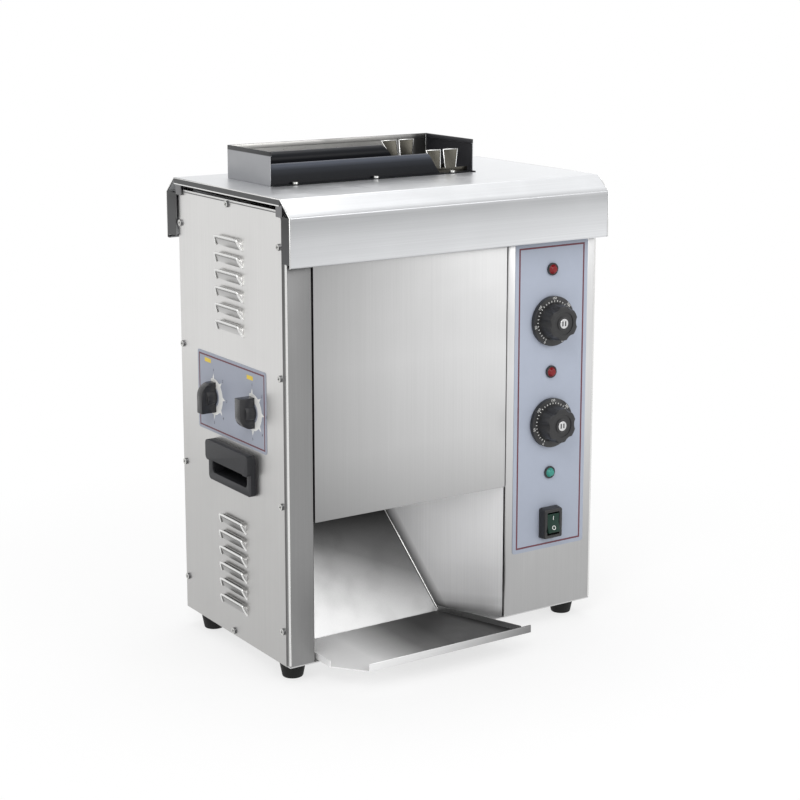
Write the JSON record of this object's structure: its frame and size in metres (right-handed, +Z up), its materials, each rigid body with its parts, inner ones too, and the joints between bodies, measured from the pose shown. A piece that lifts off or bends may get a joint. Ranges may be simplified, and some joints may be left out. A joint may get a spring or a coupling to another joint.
{
  "type": "vertical conveyor toaster",
  "caption": "Upright stainless bun toaster with a feed chute on the lid, twin belts beside a heated platen, a front landing tray, heat dials and side gap knobs.",
  "frame": {"origin": "on the floor under the feet, at the centre of the footprint", "axes": "+X to the operator's right, +Y to the back of the machine, +Z up"},
  "size_m": [0.4282, 0.3094, 0.546],
  "materials": {
    "stainless": "brushed stainless sheet",
    "inner_steel": "plain bright steel",
    "gear_steel": "machined steel, lightly greased",
    "cast_aluminium": "milled",
    "heater_sheath": "heat-darkened tube",
    "release_coating": "smooth coated glass cloth",
    "belt_fabric": "coated glass cloth",
    "bush_brass": "turned",
    "guide_black": "black satin coating",
    "motor_paint": "satin",
    "black_plastic": "satin moulded",
    "overlay_film": "printed film",
    "red_lens": "clear tinted",
    "green_lens": "clear tinted",
    "foot_rubber": "moulded",
    "terminal_white": "moulded"
  },
  "bodies": {
    "cabinet": {"base_pan": "stainless", "cable_gland": "black_plastic", "centre_feed_guide": "guide_black", "control_column": "stainless", "control_overlay": "overlay_film", "discharge_deflector": "stainless", "discharge_ramp": "stainless", "feed_chute": "stainless", "feet": "foot_rubber", "front_belt": "belt_fabric", "front_feed_guide": "guide_black", "gear_motor": "motor_paint", "green_lamp": "green_lens", "guide_end_tabs": "stainless", "guide_screws": "stainless", "idler_stud": "inner_steel", "left_chamber_wall": "inner_steel", "left_front_post": "stainless", "left_side_cover": "stainless", "lid": "stainless", "motor_standoffs": "inner_steel", "platen": "cast_aluminium", "platen_bolts": "inner_steel", "platen_heaters": "heater_sheath", "radiant_heaters": "heater_sheath", "rear_belt": "belt_fabric", "rear_panel": "stainless", "red_lamps": "red_lens", "release_sheets": "release_coating", "right_chamber_wall": "inner_steel", "right_side_cover": "stainless", "roller_bushes": "bush_brass", "side_cover_screws": "stainless", "side_handles": "black_plastic", "side_overlay": "overlay_film", "switch_housing": "black_plastic", "terminal_block": "terminal_white", "thermostats": "black_plastic", "top_frame": "inner_steel"},
    "front_drive": {"front_drive_roller": "inner_steel", "front_drive_gear": "gear_steel"},
    "rear_drive": {"rear_drive_roller": "inner_steel", "rear_drive_gear": "gear_steel"},
    "front_idler": {"front_idler_roller": "inner_steel"},
    "rear_idler": {"rear_idler_roller": "inner_steel"},
    "motor_output": {"motor_gear": "gear_steel"},
    "idler_wheel": {"idler_gear": "gear_steel"},
    "front_adjuster": {"front_gap_knob": "black_plastic", "front_cam": "inner_steel"},
    "rear_adjuster": {"rear_gap_knob": "black_plastic", "rear_cam": "inner_steel"},
    "front_presser": {"front_pressure_plate": "inner_steel", "front_plate_link": "inner_steel"},
    "rear_presser": {"rear_pressure_plate": "inner_steel", "rear_plate_link": "inner_steel"},
    "upper_dial": {"upper_heat_knob": "black_plastic"},
    "lower_dial": {"lower_heat_knob": "black_plastic"},
    "rocker": {"switch_rocker": "black_plastic"},
    "tray": {"landing_tray": "stainless"},
    "door": {"front_cover": "stainless"}
  },
  "joints": [
    {"name": "front_drive_spin", "type": "hinge", "parent": "cabinet", "child": "front_drive", "pos_m": [0, -0.00365, 0.225], "axis": [1, 0, 0], "continuous": true},
    {"name": "motor_spin", "type": "hinge", "parent": "cabinet", "child": "motor_output", "pos_m": [0, 0.03235, 0.225], "axis": [1, 0, 0], "continuous": true},
    {"name": "idler_gear_spin", "type": "hinge", "parent": "cabinet", "child": "idler_wheel", "pos_m": [0, 0.06835, 0.225], "axis": [1, 0, 0], "continuous": true},
    {"name": "rear_drive_spin", "type": "hinge", "parent": "cabinet", "child": "rear_drive", "pos_m": [0, 0.10435, 0.225], "axis": [1, 0, 0], "continuous": true},
    {"name": "front_idler_spin", "type": "hinge", "parent": "cabinet", "child": "front_idler", "pos_m": [0, -0.00365, 0.453], "axis": [1, 0, 0], "continuous": true},
    {"name": "rear_idler_spin", "type": "hinge", "parent": "cabinet", "child": "rear_idler", "pos_m": [0, 0.10435, 0.453], "axis": [1, 0, 0], "continuous": true},
    {"name": "front_gap_turn", "type": "hinge", "parent": "cabinet", "child": "front_adjuster", "pos_m": [-0.19585, -0.0285, 0.28], "axis": [-1, 0, 0], "range_deg": [0, 180]},
    {"name": "front_plate_slide", "type": "slide", "parent": "cabinet", "child": "front_presser", "axis": [0, 1, 0], "range_m": [-0.008, 0]},
    {"name": "rear_gap_turn", "type": "hinge", "parent": "cabinet", "child": "rear_adjuster", "pos_m": [-0.19585, 0.0565, 0.28], "axis": [-1, 0, 0], "range_deg": [0, 180]},
    {"name": "rear_plate_slide", "type": "slide", "parent": "cabinet", "child": "rear_presser", "axis": [0, 1, 0], "range_m": [0, 0.008]},
    {"name": "upper_heat_turn", "type": "hinge", "parent": "cabinet", "child": "upper_dial", "pos_m": [0.1418, -0.09865, 0.3524], "axis": [0, 1, 0], "range_deg": [0, 270]},
    {"name": "lower_heat_turn", "type": "hinge", "parent": "cabinet", "child": "lower_dial", "pos_m": [0.1418, -0.09865, 0.2372], "axis": [0, 1, 0], "range_deg": [0, 270]},
    {"name": "rocker_tilt", "type": "hinge", "parent": "cabinet", "child": "rocker", "pos_m": [0.1418, -0.10465, 0.122], "axis": [1, 0, 0], "range_deg": [0, 16]},
    {"name": "tray_slide", "type": "slide", "parent": "cabinet", "child": "tray", "axis": [0, -1, 0], "range_m": [0, 0.1]},
    {"name": "cover_lift", "type": "slide", "parent": "cabinet", "child": "door", "axis": [0, 0, 1], "range_m": [0, 0.0065]}
  ],
  "couplings": [
    {"joint": "motor_spin", "follows": "front_drive_spin", "ratio": -1},
    {"joint": "idler_gear_spin", "follows": "front_drive_spin", "ratio": 1},
    {"joint": "rear_drive_spin", "follows": "front_drive_spin", "ratio": -1},
    {"joint": "front_idler_spin", "follows": "front_drive_spin", "ratio": 1},
    {"joint": "rear_idler_spin", "follows": "front_drive_spin", "ratio": -1},
    {"joint": "front_gap_turn", "follows": "front_plate_slide", "rad_per_m": -392.7},
    {"joint": "rear_gap_turn", "follows": "rear_plate_slide", "rad_per_m": 392.7}
  ]
}
